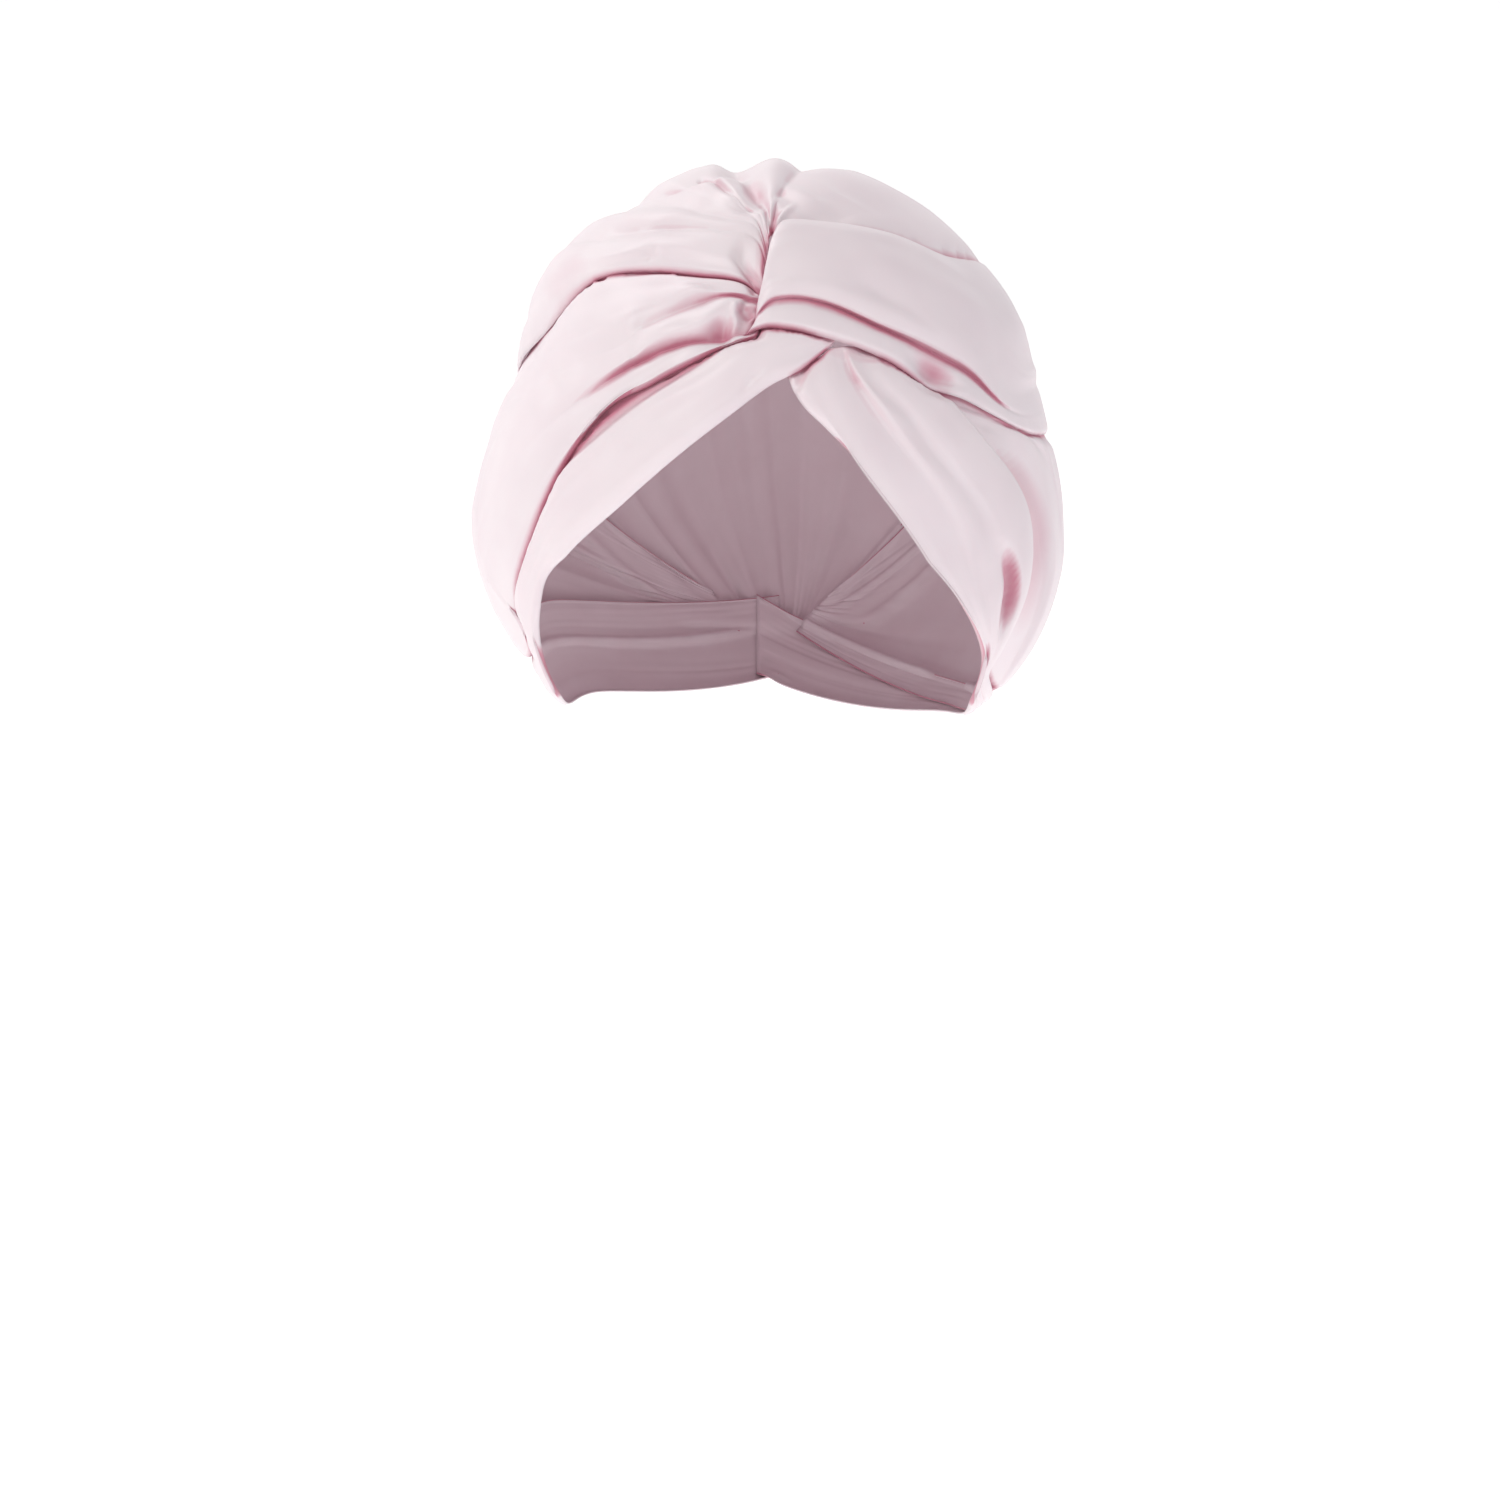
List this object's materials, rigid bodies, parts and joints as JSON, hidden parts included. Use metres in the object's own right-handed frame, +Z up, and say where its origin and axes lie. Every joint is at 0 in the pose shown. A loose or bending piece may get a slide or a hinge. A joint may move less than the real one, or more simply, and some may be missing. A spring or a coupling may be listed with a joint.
{
  "type": "turban headwrap",
  "caption": "Soft satin turban headwrap in its worn form, with a twisted front, gathered crown and crossed brow bands round an open head hollow.",
  "frame": {"origin": "the point on the inside of the crown where the top of the head bears, about 14 mm below the crown's top", "axes": "+Z up, the brow and the twist face -Y, +X is the viewer's right as seen from the front"},
  "size_m": [0.2093, 0.2329, 0.2007],
  "materials": {
    "pink_satin": "pale pink woven satin with a soft sheen"
  },
  "bodies": {
    "root": {"crown_panel": "pink_satin", "right_over_wrap": "pink_satin", "left_side_panel": "pink_satin", "right_side_panel": "pink_satin", "left_brow_band": "pink_satin", "right_brow_band": "pink_satin"}
  },
  "joints": []
}
